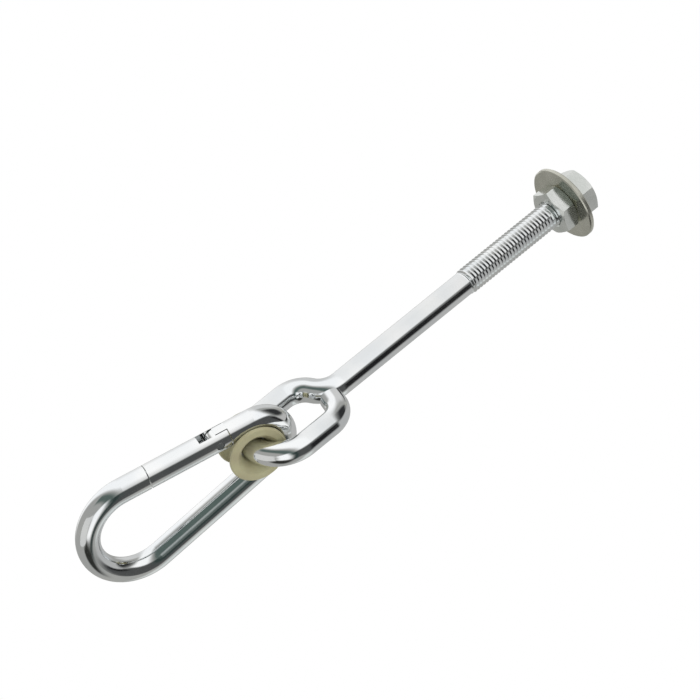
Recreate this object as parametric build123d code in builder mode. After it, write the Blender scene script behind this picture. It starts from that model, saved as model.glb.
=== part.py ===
"""Hammock hook: an eye bolt with two nuts and a washer, a nylon spool on its eye,
and a spring snap hook hanging from the spool. Millimetres. The bolt axis is Z with
its threaded end up, the eye lies in the XZ plane, and the origin is on the bolt axis
at the washer's underside."""
import math
import os

from build123d import *

os.makedirs("parts", exist_ok=True)

# Rod, thread and the heights of the eye's bends
ROD_R = 4.45
THREAD_R = 4.925
THREAD_START = -50.5
RUN_OUT = 0.8
TIP_CHAMFER = 1.0
NECK_Z = -118.4
SHOULDER_Z = -122.8
BEND_Z = -140.9
SHOULDER_BEND = 8.8
END_X = ROD_R - 1.3
END_BREAK = 0.5

# Washer and nuts
WASHER_R = 14.3
WASHER_BORE = THREAD_R + 0.325
WASHER_T = 2.0
WASHER_BREAK = 0.2 * WASHER_T
NUT_AF = 16.0
NUT_CORNER = NUT_AF / math.sqrt(3)
NUT_CONE = 1.0
NUT_FACE = NUT_AF / 2 - 0.3
LOWER_NUT_H = 6.4
UPPER_NUT_H = 8.0
NUT_BORE = THREAD_R + 0.025
NUT_BREAK = 0.5
THREAD_TOP = WASHER_T + UPPER_NUT_H + 0.8

# Wire of the snap hook, and the inside of its big end
WIRE_R = 4.5
BIG_INSIDE = 13.4
BIG_R = BIG_INSIDE + WIRE_R
CENTRES = 53.6

# Nylon spool: bore round the rod, groove round the wire, a wall between them and two flanges
BORE_PLAY = 0.25
GROOVE_PLAY = 0.25
HUB_WALL = 0.65
FLANGE = 1.65
THROAT_R = ROD_R + BORE_PLAY
GROOVE_R = WIRE_R + GROOVE_PLAY
GROOVE_OFFSET = THROAT_R + HUB_WALL + GROOVE_R
SPOOL_HALF = GROOVE_R + FLANGE
LIP = 0.9
SPOOL_RIM = GROOVE_OFFSET + LIP
RIM_BREAK = 0.3 * FLANGE

# The eye's bend leaves play at both ends of the spool
END_PLAY = 1.55
EYE_R = SPOOL_HALF + END_PLAY + ROD_R

# The small end's radius puts the spine in the spool's groove
SMALL_OFFSET = 3.3
SMALL_R = (GROOVE_OFFSET - SMALL_OFFSET * BIG_R / CENTRES) / (1 - SMALL_OFFSET / CENTRES)
PIN_L = 13.0
NOSE_L = 40.8

# Gate: the seams at its ends, and the fork's round cheeks over the tongue
SEAM = 0.4
CHEEK_R = WIRE_R - 0.1
FORK_HALF = 2.2
TONGUE_HALF = FORK_HALF - 0.3
TONGUE_H = 2 * math.sqrt(WIRE_R**2 - TONGUE_HALF**2) - 0.06
TONGUE_L = CHEEK_R + 4 * SEAM
TONGUE_CAP = 3.6
FORK_DEPTH = 6.5
PIN_R = 1.5
PIN_PRESS = 0.02
PIN_PLAY = 0.06
PIN_HALF = WIRE_R - 0.3

# Latch: a flat blade with a cross pin, and the slot for both in the nose
BLADE_L = 5.0
BLADE_HALF = 1.2
BLADE_R = 1.9
LATCH_R = 1.2
LATCH_HALF = 2 * BLADE_HALF
LATCH_PLAY = 0.3
SLOT_TOP = BLADE_R + 0.4
PIN_SLOT_TOP = LATCH_R + LATCH_PLAY

# Plunger and spring in the gate's bore
BORE_R = 2.2
BORE_END = 18.0
PLUNGER_START = TONGUE_CAP + 0.2
PLUNGER_END = PLUNGER_START + 6.0
SPRING_WIRE = 0.35
SPRING_START = PLUNGER_END + SPRING_WIRE + 0.02
SPRING_END = BORE_END - SPRING_WIRE - 0.02
TURNS = 4

# Half-width of a cutting block, clear of the wire on all sides
BLOCK = WIRE_R + 1.5

# Rest pose of the photo: the spool sways along the eye and the hook swings on the spool
SWAY = math.radians(18.0)
SWING = math.radians(11.8)

# Hook directions: l points from the big end to the small end, n is the spool's axis
l_dir = Vector(math.sin(SWAY) * math.cos(SWING), -math.sin(SWING), math.cos(SWAY) * math.cos(SWING))
n_dir = Vector(math.cos(SWAY), 0, -math.sin(SWAY))
spool_centre = Vector(-EYE_R * math.sin(SWAY), 0, BEND_Z - EYE_R * math.cos(SWAY))
small_centre = spool_centre + l_dir * SMALL_OFFSET

# Plane of the hook: x along l, y towards the gate, z along n
hook_plane = Plane(origin=small_centre, x_dir=l_dir, z_dir=n_dir)
lean = math.asin((BIG_R - SMALL_R) / CENTRES)
gate_offset = (SMALL_R + PIN_L * math.sin(lean)) / math.cos(lean)
pin_point = hook_plane.from_local_coords(Vector(-PIN_L, gate_offset, 0))
gate_dir = hook_plane.y_dir * math.sin(lean) - l_dir * math.cos(lean)

# Plane of the gate: origin on the pivot pin, x towards the nose, y outwards
gate_plane = Plane(origin=pin_point, x_dir=gate_dir, z_dir=n_dir * -1)
nose_r = (NOSE_L - PIN_L) / math.cos(lean)
latch_x = nose_r + BLADE_L - BLADE_R

# Eye bolt: the rod is bent in one sweep, from the thread down and round the eye
with BuildPart() as eye_bolt:
    with BuildLine(Plane.XZ) as eye_path:
        FilletPolyline(
            (0, THREAD_START),
            (0, NECK_Z),
            (-EYE_R, SHOULDER_Z),
            (-EYE_R, BEND_Z),
            radius=SHOULDER_BEND,
        )
        ThreePointArc((-EYE_R, BEND_Z), (0, BEND_Z - EYE_R), (EYE_R, BEND_Z))
        FilletPolyline(
            (EYE_R, BEND_Z),
            (EYE_R, SHOULDER_Z),
            (END_X, NECK_Z + (SHOULDER_Z - NECK_Z) * END_X / EYE_R),
            radius=SHOULDER_BEND,
        )
    with BuildSketch(Plane(origin=(0, 0, THREAD_START), z_dir=(0, 0, -1))):
        Circle(ROD_R)
    sweep(path=eye_path.wires()[0])
    # The cut end of the rod has a broken edge
    cut_end = eye_bolt.faces().filter_by(GeomType.PLANE).sort_by(Axis.Z)[0]
    chamfer(cut_end.edges(), length=END_BREAK)
    # Envelope of the thread, chamfered at its tip and run out at the shank
    with BuildSketch(Plane.XZ):
        with BuildLine():
            Polyline(
                (0, THREAD_START),
                (ROD_R, THREAD_START),
                (THREAD_R, THREAD_START + RUN_OUT),
                (THREAD_R, THREAD_TOP - TIP_CHAMFER),
                (THREAD_R - TIP_CHAMFER, THREAD_TOP),
                (0, THREAD_TOP),
                close=True,
            )
        make_face()
    revolve(axis=Axis.Z)
eye_bolt.part.label = "eye_bolt"
export_step(eye_bolt.part, "parts/eye_bolt.step")


# Nut blank on a height, turned about the bolt by an angle
def hexagon_nut(bottom, height, turn):
    top = bottom + height
    with BuildPart() as nut:
        with BuildSketch(Plane.XY.offset(bottom)):
            RegularPolygon(radius=NUT_AF / 2, side_count=6, major_radius=False, rotation=turn)
        extrude(amount=height)
        # Both ends are turned to a cone that leaves curved edges on the flats
        with BuildSketch(Plane.XZ):
            with BuildLine():
                Polyline(
                    (NUT_BORE, bottom + NUT_BREAK),
                    (NUT_BORE + NUT_BREAK, bottom),
                    (NUT_FACE, bottom),
                    (NUT_CORNER + 0.2, bottom + NUT_CONE),
                    (NUT_CORNER + 0.2, top - NUT_CONE),
                    (NUT_FACE, top),
                    (NUT_BORE + NUT_BREAK, top),
                    (NUT_BORE, top - NUT_BREAK),
                    close=True,
                )
            make_face()
        revolve(axis=Axis.Z, mode=Mode.INTERSECT)
    return nut


lower_nut = hexagon_nut(-LOWER_NUT_H, LOWER_NUT_H, 30)
lower_nut.part.label = "lower_nut"
export_step(lower_nut.part, "parts/lower_nut.step")

upper_nut = hexagon_nut(WASHER_T, UPPER_NUT_H, 27)
upper_nut.part.label = "upper_nut"
export_step(upper_nut.part, "parts/upper_nut.step")

# Washer: stamped disc with broken rims
with BuildPart() as washer:
    with BuildSketch(Plane.XY):
        Circle(WASHER_R)
        Circle(WASHER_BORE, mode=Mode.SUBTRACT)
    extrude(amount=WASHER_T)
    rims = washer.edges().filter_by(GeomType.CIRCLE).sort_by(SortBy.RADIUS)
    chamfer(rims[-2:], length=WASHER_BREAK)
    chamfer(rims[:2], length=WASHER_BREAK / 2)
washer.part.label = "washer"
export_step(washer.part, "parts/washer.step")

# Spool: revolved about its own axis. The bore is a bell mouth that follows the eye's bend
spool_plane = Plane(origin=spool_centre, x_dir=n_dir, z_dir=(0, 1, 0))
with BuildPart() as nylon_bushing:
    with BuildSketch(spool_plane):
        with Locations((0, SPOOL_RIM / 2)):
            Rectangle(2 * SPOOL_HALF, SPOOL_RIM)
        with Locations((0, EYE_R)):
            Circle(EYE_R - THROAT_R, mode=Mode.INTERSECT)
        with Locations((0, GROOVE_OFFSET)):
            Circle(GROOVE_R, mode=Mode.SUBTRACT)
        with Locations((0, GROOVE_OFFSET + LIP)):
            Rectangle(2 * GROOVE_R, 2 * LIP, mode=Mode.SUBTRACT)
    revolve(axis=Axis(spool_centre, n_dir))
    rim_edges = nylon_bushing.edges().filter_by(GeomType.CIRCLE).filter_by(
        lambda e: abs(e.radius - SPOOL_RIM) < 0.01
    )
    chamfer(rim_edges, length=RIM_BREAK)
nylon_bushing.part.label = "nylon_bushing"
export_step(nylon_bushing.part, "parts/nylon_bushing.step")

# Points of the hook's centreline in its own plane
s_lean = math.sin(lean)
c_lean = math.cos(lean)
pivot_end = (-PIN_L, gate_offset)
small_gate = (SMALL_R * s_lean, SMALL_R * c_lean)
small_spine = (SMALL_R * s_lean, -SMALL_R * c_lean)
big_spine = (-CENTRES + BIG_R * s_lean, -BIG_R * c_lean)
big_gate = (-CENTRES + BIG_R * s_lean, BIG_R * c_lean)
nose_end = (-NOSE_L + 3, (SMALL_R + (NOSE_L - 3) * s_lean) / c_lean)

# Hook body: wire from the pivot round the small end, down the spine and round to the nose
with BuildPart() as hook_body:
    with BuildLine(hook_plane) as hook_path:
        Line(pivot_end, small_gate)
        ThreePointArc(small_gate, (SMALL_R, 0), small_spine)
        Line(small_spine, big_spine)
        ThreePointArc(big_spine, (-CENTRES - BIG_R, 0), big_gate)
        Line(big_gate, nose_end)
    with BuildSketch(Plane(origin=pin_point, z_dir=gate_dir * -1)):
        Circle(WIRE_R)
    sweep(path=hook_path.wires()[0])
    # Nose: its face is an arc about the pivot so the gate swings clear
    with BuildSketch(gate_plane):
        with Locations((nose_r - BLOCK / 2, 0)):
            Rectangle(1.5 * BLOCK, 2 * BLOCK)
        Circle(nose_r + SEAM / 2, mode=Mode.INTERSECT)
    extrude(amount=BLOCK, both=True, mode=Mode.SUBTRACT)
    # Blind slots for the latch blade and its pin, open towards the inside of the hook
    with BuildSketch(gate_plane):
        with Locations((nose_r + BLADE_L / 2, (SLOT_TOP - BLOCK) / 2)):
            Rectangle(BLADE_L + 4 * SEAM, SLOT_TOP + BLOCK)
    extrude(amount=BLADE_HALF + LATCH_PLAY, both=True, mode=Mode.SUBTRACT)
    with BuildSketch(gate_plane):
        with Locations((latch_x, (PIN_SLOT_TOP - BLOCK) / 2)):
            Rectangle(2 * (LATCH_R + LATCH_PLAY) + 0.2, PIN_SLOT_TOP + BLOCK)
    extrude(amount=LATCH_HALF + LATCH_PLAY, both=True, mode=Mode.SUBTRACT)
    # Pivot end: square outside and round inside, with a flat tongue for the pin
    with BuildSketch(gate_plane):
        Circle(CHEEK_R + SEAM)
        with Locations((-(CHEEK_R + SEAM) / 2, BLOCK / 2)):
            Rectangle(CHEEK_R + SEAM, BLOCK)
    extrude(amount=BLOCK, both=True, mode=Mode.SUBTRACT)
    with BuildSketch(gate_plane):
        Circle(TONGUE_CAP)
        with Locations((-TONGUE_L / 2, 0)):
            Rectangle(TONGUE_L, TONGUE_H)
        Circle(PIN_R + PIN_PLAY, mode=Mode.SUBTRACT)
    extrude(amount=TONGUE_HALF, both=True)
hook_body.part.label = "hook_body"
export_step(hook_body.part, "parts/hook_body.step")

# Gate: round bar, forked over the tongue, with a latch blade at its free end
with BuildPart() as gate:
    with BuildSketch(Plane(origin=pin_point - gate_dir * BLOCK, z_dir=gate_dir)):
        Circle(WIRE_R)
    extrude(amount=nose_r + 2 * BLOCK)
    # Its ends: the fork's is square outside and round inside, the free one an arc about the pin
    with BuildSketch(gate_plane):
        with Locations((nose_r / 2, 0)):
            Rectangle(nose_r, 2 * BLOCK)
        Circle(nose_r - SEAM / 2, mode=Mode.INTERSECT)
        Circle(CHEEK_R)
        with Locations((-CHEEK_R / 2, BLOCK / 2)):
            Rectangle(CHEEK_R, BLOCK)
    extrude(amount=BLOCK, both=True, mode=Mode.INTERSECT)
    # Fork's gap and pin hole
    with BuildSketch(gate_plane):
        with Locations(((FORK_DEPTH - BLOCK) / 2, 0)):
            Rectangle(FORK_DEPTH + BLOCK, 2 * BLOCK)
    extrude(amount=FORK_HALF, both=True, mode=Mode.SUBTRACT)
    with BuildSketch(gate_plane):
        Circle(PIN_R + PIN_PRESS)
    extrude(amount=BLOCK, both=True, mode=Mode.SUBTRACT)
    # Bore for the plunger and the spring
    with BuildSketch(Plane(origin=pin_point + gate_dir * (FORK_DEPTH - SEAM), z_dir=gate_dir)):
        Circle(BORE_R)
    extrude(amount=BORE_END - FORK_DEPTH + SEAM, mode=Mode.SUBTRACT)
    # Latch blade with its pin hole
    with BuildSketch(gate_plane):
        with Locations((latch_x - BLADE_L / 2, 0)):
            Rectangle(BLADE_L, 2 * BLADE_R)
        with Locations((latch_x, 0)):
            Circle(BLADE_R)
    extrude(amount=BLADE_HALF, both=True)
    with BuildSketch(gate_plane):
        with Locations((latch_x, 0)):
            Circle(LATCH_R + PIN_PRESS)
    extrude(amount=2 * BLADE_HALF, both=True, mode=Mode.SUBTRACT)
gate.part.label = "gate"
export_step(gate.part, "parts/gate.step")

# Pivot rivet, flush with the fork's round sides
with BuildPart() as gate_pin:
    with BuildSketch(gate_plane):
        Circle(PIN_R)
    extrude(amount=PIN_HALF, both=True)
    chamfer(gate_pin.edges().filter_by(GeomType.CIRCLE), length=0.2)
gate_pin.part.label = "gate_pin"
export_step(gate_pin.part, "parts/gate_pin.step")

# Cross pin at the gate's free end
with BuildPart() as latch_pin:
    with BuildSketch(gate_plane):
        with Locations((latch_x, 0)):
            Circle(LATCH_R)
    extrude(amount=LATCH_HALF, both=True)
    chamfer(latch_pin.edges().filter_by(GeomType.CIRCLE), length=0.2)
latch_pin.part.label = "latch_pin"
export_step(latch_pin.part, "parts/latch_pin.step")

# Plunger in the gate's bore, with its tip at the tongue
with BuildPart() as spring_plunger:
    with BuildSketch(Plane(origin=pin_point + gate_dir * PLUNGER_START, z_dir=gate_dir)):
        Circle(BORE_R - 0.2)
    extrude(amount=PLUNGER_END - PLUNGER_START)
    chamfer(spring_plunger.edges().filter_by(GeomType.CIRCLE), length=0.4)
spring_plunger.part.label = "spring_plunger"
export_step(spring_plunger.part, "parts/spring_plunger.step")

# Compression spring between the plunger and the bottom of the bore
with BuildPart() as gate_spring:
    with BuildLine() as coil:
        Helix(
            pitch=(SPRING_END - SPRING_START) / TURNS,
            height=SPRING_END - SPRING_START,
            radius=BORE_R - 0.2 - SPRING_WIRE,
            center=pin_point + gate_dir * SPRING_START,
            direction=gate_dir,
        )
    with BuildSketch(Plane(origin=coil.wires()[0] @ 0, z_dir=coil.wires()[0] % 0)):
        Circle(SPRING_WIRE)
    sweep(path=coil.wires()[0], is_frenet=True)
gate_spring.part.label = "gate_spring"
export_step(gate_spring.part, "parts/gate_spring.step")
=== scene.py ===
import math

import bmesh
import bpy
from mathutils import Matrix, Quaternion, Vector


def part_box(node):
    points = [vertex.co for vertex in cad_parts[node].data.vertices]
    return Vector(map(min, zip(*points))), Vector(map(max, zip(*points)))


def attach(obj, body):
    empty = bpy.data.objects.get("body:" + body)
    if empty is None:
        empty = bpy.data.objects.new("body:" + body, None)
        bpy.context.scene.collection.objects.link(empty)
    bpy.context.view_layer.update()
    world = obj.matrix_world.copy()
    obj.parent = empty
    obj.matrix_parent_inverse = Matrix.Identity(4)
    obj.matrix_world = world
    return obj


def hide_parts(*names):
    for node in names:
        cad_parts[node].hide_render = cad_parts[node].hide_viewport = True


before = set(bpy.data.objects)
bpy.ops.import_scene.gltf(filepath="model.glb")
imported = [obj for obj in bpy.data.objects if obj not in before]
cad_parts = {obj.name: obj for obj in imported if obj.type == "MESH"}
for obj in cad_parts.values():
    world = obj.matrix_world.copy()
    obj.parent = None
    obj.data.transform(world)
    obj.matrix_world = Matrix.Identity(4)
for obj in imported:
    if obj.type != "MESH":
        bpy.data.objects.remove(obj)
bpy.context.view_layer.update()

scene = bpy.context.scene
scene.view_settings.view_transform = "Standard"

# Photographer's camera. A long lens looks up at the hanging hook from its front right,
# rolled so that the bolt runs from the lower left to the upper right of the picture.
TO_CAMERA = Vector((0.6373, -0.6461, -0.4200))
PICTURE_RIGHT = Vector((0.6766, 0.2082, 0.7063))
AIM = Vector((-0.0116, 0.0017, -0.0967))
DISTANCE = 4.0
PICTURE_WIDTH = 0.2482
FARTHEST_SEEN = 20.0
camera = bpy.data.objects.new("photo_camera", bpy.data.cameras.new("photo_camera"))
scene.collection.objects.link(camera)
toward = TO_CAMERA.normalized()
right = (PICTURE_RIGHT - PICTURE_RIGHT.dot(toward) * toward).normalized()
turn = Matrix((right, toward.cross(right), toward)).transposed()
camera.matrix_world = Matrix.Translation(AIM + DISTANCE * toward) @ turn.to_4x4()
camera.data.lens = camera.data.sensor_width * DISTANCE / PICTURE_WIDTH
camera.data.clip_end = FARTHEST_SEEN
scene.camera = camera

# Bright zinc on drawn steel rod, the finish of the eye bolt and the snap hook. It mirrors
# its surroundings with a faint blue bloom, over the shallow pits of tumbling. Real pits
# are finer, and wouldn't show.
MM_PER_M = 1000
# A Mix node's sockets are the share, two numbers and two colours, and its mixed colour.
SHARE, FIRST_NUMBER, SECOND_NUMBER, FIRST_COLOUR, SECOND_COLOUR = 0, 2, 3, 6, 7
MIXED_COLOUR = 2


def linear(code):
    """The linear colour of an sRGB hex value."""
    values = [int(code[i : i + 2], 16) / 255 for i in (1, 3, 5)]
    return [v / 12.92 if v <= 0.04045 else ((v + 0.055) / 1.055) ** 2.4 for v in values] + [1]


def add(tree, kind, inputs=(), **settings):
    """A node with its settings. An input is a value, a socket, or a node's first output."""
    made = tree.nodes.new(kind)
    for name, value in settings.items():
        setattr(made, name, value)
    for key, value in inputs.items() if isinstance(inputs, dict) else enumerate(inputs):
        source = value.outputs[0] if isinstance(value, bpy.types.Node) else value
        if isinstance(source, bpy.types.NodeSocket):
            tree.links.new(source, made.inputs[key])
        else:
            made.inputs[key].default_value = source
    return made


def finish_of(
    name, tones, patch_mm, spread, roughness, haze_mm, pit_mm, pit_depth_mm, metallic=1.0, others=None
):
    """A material whose tone, gloss and relief vary in soft clouds of a real size."""
    material = bpy.data.materials.new(name)
    material.use_nodes = True
    tree = material.node_tree
    tree.nodes.clear()
    place = add(tree, "ShaderNodeTexCoord").outputs["Object"]
    patches, haze, pits = (
        add(tree, "ShaderNodeTexNoise", {"Vector": place, "Scale": MM_PER_M / size_mm, "Detail": 2.0})
        for size_mm in (patch_mm, haze_mm, pit_mm)
    )
    share = add(tree, "ShaderNodeMapRange", {"Value": patches, "From Min": spread[0], "From Max": spread[1]})
    first, second = (linear(code) for code in tones)
    blend = {SHARE: share, FIRST_COLOUR: first, SECOND_COLOUR: second}
    inputs = {
        "Base Color": add(tree, "ShaderNodeMix", blend, data_type="RGBA").outputs[MIXED_COLOUR],
        "Roughness": add(
            tree,
            "ShaderNodeMapRange",
            {"Value": haze, "To Min": roughness[0], "To Max": roughness[1]},
        ),
        "Normal": add(
            tree,
            "ShaderNodeBump",
            {"Height": pits, "Distance": pit_depth_mm / MM_PER_M, "Strength": 1.0},
        ),
        "Metallic": metallic,
    }
    shader = add(tree, "ShaderNodeBsdfPrincipled", {**inputs, **(others or {})})
    add(tree, "ShaderNodeOutputMaterial", {"Surface": shader})
    return material


bright_zinc = finish_of(
    "bright_zinc_rod",
    tones=("#F9FAFA", "#EFF2F4"),
    patch_mm=14,
    spread=(0.35, 0.65),
    roughness=(0.05, 0.12),
    haze_mm=3,
    pit_mm=1.6,
    pit_depth_mm=0.004,
)

# Eye bolt: M10 rolled thread on drawn rod. The thread's ridges stand above the plain
# shank and its roots lie below it, and the last turns run out where the rolling stopped.
# Its crests are flat over an eighth of the pitch, and its roots over a quarter.
PITCH = 0.0015
CREST_FLAT = 0.125
ROOT_FLAT = 0.25
THREAD_DEPTH = 0.00092
THREAD_R = 0.004925
ROD_R = 0.00445
TIP_R = 0.003925
RUN_OUT = 0.0022
THREAD_START = -0.0505
THREAD_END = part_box("eye_bolt")[1].z
SIDES = 40
RIDGE_POINTS = 17
SPARE_TURNS = 2
WELD = 0.000005


def new_tree(name, kinds, sizes):
    """A Geometry Nodes tree with inputs of these kinds and sizes, and those inputs."""
    tree = bpy.data.node_groups.new(name, "GeometryNodeTree")
    for label, kind in kinds.items():
        tree.interface.new_socket(label, in_out="INPUT", socket_type="NodeSocket" + kind)
    for label, size in sizes.items():
        socket = tree.interface.new_socket(label, in_out="INPUT", socket_type="NodeSocketFloat")
        socket.default_value = size
    tree.interface.new_socket("Geometry", in_out="OUTPUT", socket_type="NodeSocketGeometry")
    return tree, add(tree, "NodeGroupInput").outputs


def finish_tree(tree, geometry, material):
    """Ends a tree in plain geometry with its material."""
    solid = add(tree, "GeometryNodeRealizeInstances", {"Geometry": geometry})
    covered = add(tree, "GeometryNodeSetMaterial", {"Geometry": solid, "Material": material})
    add(tree, "NodeGroupOutput", {"Geometry": covered})


rolled_thread, given = new_tree(
    "rolled_thread",
    {"Material": "Material"},
    {
        "Pitch": PITCH,
        "Crest Flat": CREST_FLAT,
        "Root Begin": 1 - ROOT_FLAT,
        "Depth": THREAD_DEPTH,
        "Crest Radius": THREAD_R,
        "Tip Radius": TIP_R,
        "Shank Radius": ROD_R,
        "Run Out": RUN_OUT,
        "Start": THREAD_START,
        "End": THREAD_END,
    },
)

# A flat grid is wound round the bolt: its long way is the turns, and its short way is one
# ridge from root to root.
turns = math.ceil((THREAD_END - THREAD_START) / PITCH) + SPARE_TURNS
ribbon = add(
    rolled_thread,
    "GeometryNodeMeshGrid",
    {"Size X": 1.0, "Size Y": 1.0, "Vertices X": turns * SIDES + 1, "Vertices Y": RIDGE_POINTS},
)
spot = add(
    rolled_thread,
    "ShaderNodeSeparateXYZ",
    {"Vector": add(rolled_thread, "GeometryNodeInputPosition")},
).outputs
from_edge = add(rolled_thread, "ShaderNodeMath", (spot["X"], 0.5), operation="ADD")
along = add(rolled_thread, "ShaderNodeMath", (from_edge, float(turns)), operation="MULTIPLY")
across = add(rolled_thread, "ShaderNodeMath", (spot["Y"], 0.5), operation="ADD")
angle = add(rolled_thread, "ShaderNodeMath", (along, 2 * math.pi), operation="MULTIPLY")

# Each turn climbs by one pitch, and is cut off flat at both ends of the thread.
climb = add(rolled_thread, "ShaderNodeMath", (along, across), operation="ADD")
rise = add(rolled_thread, "ShaderNodeMath", (climb, given["Pitch"], given["Start"]), operation="MULTIPLY_ADD")
free = add(rolled_thread, "ShaderNodeMath", (rise, given["Pitch"]), operation="SUBTRACT")
above_start = add(rolled_thread, "ShaderNodeMath", (free, given["Start"]), operation="MAXIMUM")
height = add(rolled_thread, "ShaderNodeMath", (above_start, given["End"]), operation="MINIMUM")

# The ridge falls from its crest to the roots on both sides, under the chamfer of the tip.
from_crest = add(rolled_thread, "ShaderNodeMath", (spot["Y"],), operation="ABSOLUTE")
slope = add(rolled_thread, "ShaderNodeMath", (from_crest, 2.0), operation="MULTIPLY")
fall = add(
    rolled_thread,
    "ShaderNodeMapRange",
    {"Value": slope, "From Min": given["Crest Flat"], "From Max": given["Root Begin"]},
)
cut = add(rolled_thread, "ShaderNodeMath", (fall, given["Depth"]), operation="MULTIPLY")
flank = add(rolled_thread, "ShaderNodeMath", (given["Crest Radius"], cut), operation="SUBTRACT")
below_tip = add(rolled_thread, "ShaderNodeMath", (given["End"], height), operation="SUBTRACT")
taper = add(rolled_thread, "ShaderNodeMath", (given["Tip Radius"], below_tip), operation="ADD")
pointed = add(rolled_thread, "ShaderNodeMath", (flank, taper), operation="MINIMUM")

# Near the start, the ridge grows out of the shank.
past_start = add(rolled_thread, "ShaderNodeMath", (height, given["Start"]), operation="SUBTRACT")
grown = add(
    rolled_thread,
    "ShaderNodeMapRange",
    {"Value": past_start, "From Max": given["Run Out"]},
    interpolation_type="SMOOTHSTEP",
)
radius = add(
    rolled_thread,
    "ShaderNodeMix",
    {SHARE: grown, FIRST_NUMBER: given["Shank Radius"], SECOND_NUMBER: pointed},
)
cosine = add(rolled_thread, "ShaderNodeMath", (angle,), operation="COSINE")
sine = add(rolled_thread, "ShaderNodeMath", (angle,), operation="SINE")
wound_x = add(rolled_thread, "ShaderNodeMath", (radius, cosine), operation="MULTIPLY")
wound_y = add(rolled_thread, "ShaderNodeMath", (radius, sine), operation="MULTIPLY")
wound = add(rolled_thread, "ShaderNodeCombineXYZ", (wound_x, wound_y, height))
ridges = add(rolled_thread, "GeometryNodeSetPosition", {"Geometry": ribbon, "Position": wound})

# Flat discs close both ends.
closed = add(rolled_thread, "GeometryNodeJoinGeometry", (ridges,))
for size, level in (("Tip Radius", "End"), ("Shank Radius", "Start")):
    disc = add(
        rolled_thread,
        "GeometryNodeMeshCircle",
        {"Vertices": SIDES, "Radius": given[size]},
        fill_type="NGON",
    )
    lift = add(rolled_thread, "ShaderNodeCombineXYZ", {"Z": given[level]})
    lid = add(rolled_thread, "GeometryNodeTransform", {"Geometry": disc, "Translation": lift})
    rolled_thread.links.new(lid.outputs[0], closed.inputs[0])
welded = add(rolled_thread, "GeometryNodeMergeByDistance", {"Geometry": closed, "Distance": WELD})
finish_tree(rolled_thread, welded, given["Material"])


def grown_from(tree, name, start=None, **values):
    """The plain mesh that a Geometry Nodes tree gives, with its inputs set by name."""
    holder = bpy.data.objects.new(name, start or bpy.data.meshes.new(name))
    scene.collection.objects.link(holder)
    modifier = holder.modifiers.new(name, "NODES")
    modifier.node_group = tree
    for item in tree.interface.items_tree:
        if item.in_out == "INPUT" and item.name in values:
            modifier[item.identifier] = values[item.name]
    seen = holder.evaluated_get(bpy.context.evaluated_depsgraph_get())
    mesh = bpy.data.meshes.new_from_object(seen)
    bpy.data.objects.remove(holder)
    mesh.name = name
    made = bpy.data.objects.new(name, mesh)
    scene.collection.objects.link(made)
    return made


bolt_thread = grown_from(rolled_thread, "bolt_thread", Material=bright_zinc)

# Eye of the bolt: the same rod, bent cold in one plane and left with its cut end at the
# neck. Its centreline is straight runs with round bends, and its top reaches into the
# closed start of the thread.
EYE_R = 0.0124
BEND_Z = -0.1409
SHOULDER_Z = -0.1228
NECK_Z = -0.1184
SHOULDER_BEND = 0.0088
END_X = 0.00315
INTO_THREAD = 0.0004
BEND_STEP = math.radians(4)
ROD_SIDES = 48
# The two bends at the bottom are this much under the eye's radius, so they don't share a point.
BEND_SLACK = 0.000001
CRISP_ANGLE = math.radians(35)
DOUBLE = 0.0000001


def rounded(corners, bends):
    """Points of a path through the corners, each turned on an arc of its own radius."""
    points = [corners[0]]
    for before, corner, after, bend in zip(corners, corners[1:], corners[2:], bends):
        back = (before - corner).normalized()
        ahead = (after - corner).normalized()
        half = back.angle(ahead) / 2
        middle = corner + (back + ahead).normalized() * bend / math.sin(half)
        begin = corner + back * bend / math.tan(half)
        spoke = begin - middle
        sweep = math.pi - 2 * half
        steps = max(2, math.ceil(sweep / BEND_STEP))
        for i in range(steps + 1):
            points.append(middle + Quaternion(back.cross(ahead), -sweep * i / steps) @ spoke)
    points.append(corners[-1])
    return points


def wire(name, points):
    """A curve of straight runs through the points."""
    curve = bpy.data.curves.new(name, "CURVE")
    curve.dimensions = "3D"
    spline = curve.splines.new("POLY")
    spline.points.add(len(points) - 1)
    for spot, point in zip(spline.points, points):
        spot.co = (*point, 1)
    return curve


round_bar, asked = new_tree("round_bar", {"Path": "Geometry", "Material": "Material"}, {"Radius": ROD_R})
ring = add(
    round_bar,
    "GeometryNodeCurvePrimitiveCircle",
    {"Resolution": ROD_SIDES, "Radius": asked["Radius"]},
)
bar = add(
    round_bar,
    "GeometryNodeCurveToMesh",
    {"Curve": asked["Path"], "Profile Curve": ring, "Fill Caps": True},
)
finish_tree(round_bar, bar, asked["Material"])

end_z = NECK_Z + (SHOULDER_Z - NECK_Z) * END_X / EYE_R
eye_corners = [
    (0, THREAD_START + INTO_THREAD),
    (0, NECK_Z),
    (-EYE_R, SHOULDER_Z),
    (-EYE_R, BEND_Z - EYE_R),
    (EYE_R, BEND_Z - EYE_R),
    (EYE_R, SHOULDER_Z),
    (END_X, end_z),
]
bottom_bend = EYE_R - BEND_SLACK
eye_line = rounded(
    [Vector((x, 0, z)) for x, z in eye_corners],
    [SHOULDER_BEND, SHOULDER_BEND, bottom_bend, bottom_bend, SHOULDER_BEND],
)
bolt_rod = grown_from(round_bar, "bolt_rod", wire("eye_path", eye_line), Material=bright_zinc)


def smoothed(piece):
    """Round faces shade smoothly and edges sharper than the angle stay crisp."""
    form = bmesh.new()
    form.from_mesh(piece.data)
    bmesh.ops.remove_doubles(form, verts=form.verts, dist=DOUBLE)
    bmesh.ops.recalc_face_normals(form, faces=form.faces)
    for face in form.faces:
        face.smooth = True
    for edge in form.edges:
        edge.smooth = not edge.is_manifold or edge.calc_face_angle(0) < CRISP_ANGLE
    form.to_mesh(piece.data)
    form.free()


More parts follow.
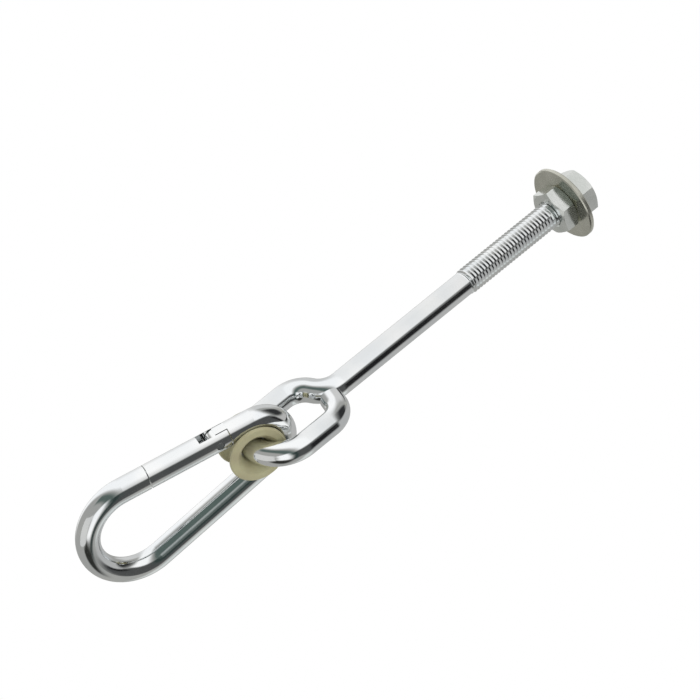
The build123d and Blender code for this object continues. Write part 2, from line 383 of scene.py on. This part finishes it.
for stretch in (bolt_thread, bolt_rod):
    smoothed(stretch)
bpy.context.view_layer.objects.active = bolt_rod
with bpy.context.temp_override(active_object=bolt_rod, selected_editable_objects=[bolt_rod, bolt_thread]):
    bpy.ops.object.join()
bolt_rod.name = "threaded_eye_rod"
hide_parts("eye_bolt")
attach(bolt_rod, "eye")

# Lower and upper nut: cold-formed hexagons of M10 thread with coned ends, tumbled and then
# zinc plated, so they are a little duller than the rod and faintly green.
nut_zinc = finish_of(
    "tumbled_zinc_nut",
    tones=("#F3F5F2", "#E2E6E2"),
    patch_mm=7,
    spread=(0.3, 0.7),
    roughness=(0.12, 0.24),
    haze_mm=2,
    pit_mm=0.9,
    pit_depth_mm=0.008,
)


def coated(material, *names):
    """Gives these pieces of the CAD model the material."""
    for name in names:
        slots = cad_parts[name].data.materials
        slots.clear()
        slots.append(material)


coated(nut_zinc, "lower_nut", "upper_nut")

# Washer: stamped from plate, so its faces are flat and its rims broken, with a warm grey
# passivated zinc coat.
washer_zinc = finish_of(
    "passivated_washer",
    tones=("#DDDCD1", "#C8C8BC"),
    patch_mm=6,
    spread=(0.3, 0.7),
    roughness=(0.2, 0.36),
    haze_mm=1.8,
    pit_mm=0.8,
    pit_depth_mm=0.012,
)
coated(washer_zinc, "washer")

# Spool: moulded from unfilled tan nylon that lets some light into its thin flanges. The
# mould leaves a soft sheen.
nylon = finish_of(
    "moulded_nylon",
    tones=("#B1AE8A", "#A29B7C"),
    patch_mm=9,
    spread=(0.3, 0.7),
    roughness=(0.3, 0.45),
    haze_mm=2,
    pit_mm=1.2,
    pit_depth_mm=0.012,
    metallic=0.0,
    others={
        "Subsurface Weight": 0.1,
        "Subsurface Radius": (0.0012, 0.001, 0.0006),
        "Subsurface Scale": 1.0,
    },
)
coated(nylon, "nylon_bushing")

# Snap hook: body and gate are bent and cut from one gauge of drawn wire, and plated
# together in the same bright zinc as the rod.
coated(bright_zinc, "hook_body", "gate")

# Pins, plunger and spring of the gate: plain turned steel and spring wire with a grey,
# oiled look. The pivot is riveted flush in the fork.
plain_steel = finish_of(
    "turned_steel",
    tones=("#A7AAAB", "#8C9091"),
    patch_mm=4,
    spread=(0.3, 0.7),
    roughness=(0.22, 0.35),
    haze_mm=1,
    pit_mm=0.5,
    pit_depth_mm=0.004,
)
coated(plain_steel, "gate_pin", "latch_pin", "spring_plunger", "gate_spring")

# Floor: a pale matt sheet far below the hanging hook. The camera looks up past it, so it
# is out of the picture.
FLOOR_Z = -2.0
FLOOR_HALF = 0.8
FLOOR_TONE = "#DCDCDA"
sheet = bpy.data.meshes.new("floor")
floor_corners = [(x * FLOOR_HALF, y * FLOOR_HALF, FLOOR_Z) for x, y in ((-1, -1), (1, -1), (1, 1), (-1, 1))]
sheet.from_pydata(floor_corners, [], [(0, 1, 2, 3)])
floor = bpy.data.objects.new("floor", sheet)
scene.collection.objects.link(floor)
pale = bpy.data.materials.new("pale_floor")
pale.use_nodes = True
pale.node_tree.nodes.clear()
matt = add(pale.node_tree, "ShaderNodeBsdfDiffuse", {"Color": linear(FLOOR_TONE)})
add(pale.node_tree, "ShaderNodeOutputMaterial", {"Surface": matt})
sheet.materials.append(pale)

# Studio: plain white behind the hook, and soft light on it from all sides. The plated
# metal mirrors a grey tent with lighter walls, dark flags and two white panels, placed in
# degrees round the bolt and up from the horizon.
TENT_TONE = "#A2A29F"
STUDIO_CARDS = (
    # round, up, half width, half height, soft edge, tone
    (60, 50, 70, 30, 10, "#B4B4B3"),
    (200, 48, 40, 20, 10, "#CFCFCE"),
    (310, 58, 40, 22, 12, "#2E2F30"),
    (245, 10, 90, 18, 8, "#FFFFFF"),
    (5, 5, 32, 22, 8, "#4C4D4D"),
    (8, 24, 20, 6, 5, "#1C1C1D"),
    (300, -28, 55, 10, 6, "#56635F"),
    (10, -18, 35, 6, 5, "#2F3B39"),
    (358, -45, 35, 14, 7, "#FFFFFF"),
    (58, -40, 20, 22, 8, "#2E2F2C"),
    (75, 12, 25, 8, 5, "#D2D6D4"),
)
SOFT_LIGHT = (0.8, 0.8, 0.8, 1)
WHITE = (1, 1, 1, 1)
studio = bpy.data.worlds.new("studio")
scene.world = studio
studio.use_nodes = True
tent = studio.node_tree
tent.nodes.clear()
ray = add(tent, "ShaderNodeLightPath").outputs
way = add(tent, "ShaderNodeTexCoord").outputs["Generated"]


def window(value, half, soft):
    """1 inside the half width and 0 outside it, with a soft edge. The widths are in degrees."""
    off = add(tent, "ShaderNodeMath", (value,), operation="ABSOLUTE")
    edges = {"Value": off, "From Min": math.radians(half + soft), "From Max": math.radians(half - soft)}
    return add(tent, "ShaderNodeMapRange", edges, interpolation_type="SMOOTHSTEP")


straight_up = Vector((0, 0, 1))
steepness = add(tent, "ShaderNodeVectorMath", (way, straight_up), operation="DOT_PRODUCT")
upward = add(tent, "ShaderNodeMath", (steepness.outputs["Value"],), operation="ARCSINE")
mirrored = linear(TENT_TONE)
for round_bolt, up, half_width, half_height, soft, tone in STUDIO_CARDS:
    bearing = math.radians(round_bolt)
    ahead = Vector((math.cos(bearing), math.sin(bearing), 0))
    beside = Vector((-ahead.y, ahead.x, 0))
    front, side = (
        add(tent, "ShaderNodeVectorMath", (way, axis), operation="DOT_PRODUCT").outputs["Value"]
        for axis in (ahead, beside)
    )
    aside = add(tent, "ShaderNodeMath", (side, front), operation="ARCTAN2")
    above = add(tent, "ShaderNodeMath", (upward, math.radians(up)), operation="SUBTRACT")
    within = (window(aside, half_width, soft), window(above, half_height, soft))
    card = add(tent, "ShaderNodeMath", within, operation="MULTIPLY")
    layers = {SHARE: card, FIRST_COLOUR: mirrored, SECOND_COLOUR: linear(tone)}
    mirrored = add(tent, "ShaderNodeMix", layers, data_type="RGBA").outputs[MIXED_COLOUR]
on_object = {SHARE: ray["Is Glossy Ray"], FIRST_COLOUR: SOFT_LIGHT, SECOND_COLOUR: mirrored}
lit = add(tent, "ShaderNodeMix", on_object, data_type="RGBA").outputs[MIXED_COLOUR]
through = (ray["Is Camera Ray"], ray["Is Transmission Ray"])
behind = add(tent, "ShaderNodeMath", through, operation="MAXIMUM")
all_rays = {SHARE: behind, FIRST_COLOUR: lit, SECOND_COLOUR: WHITE}
shown = add(tent, "ShaderNodeMix", all_rays, data_type="RGBA").outputs[MIXED_COLOUR]
glow = add(tent, "ShaderNodeBackground", {"Color": shown, "Strength": 1.0})
add(tent, "ShaderNodeOutputWorld", {"Surface": glow})

# Two soft lamps give the nylon its form. The metal doesn't mirror them.
LAMP_AIM = Vector((0, 0, -0.11))
LAMPS = (
    # name, place, size in metres, watts
    ("key_lamp", Vector((-0.5, -1.0, 0.9)), 0.8, 7),
    ("fill_lamp", Vector((1.2, -0.6, -0.3)), 0.9, 4),
)
for name, place, size, watts in LAMPS:
    lamp = bpy.data.objects.new(name, bpy.data.lights.new(name, "AREA"))
    scene.collection.objects.link(lamp)
    lamp.data.size = size
    lamp.data.energy = watts
    lamp.location = place
    lamp.rotation_euler = (LAMP_AIM - place).to_track_quat("-Z", "Y").to_euler()
    lamp.visible_glossy = False
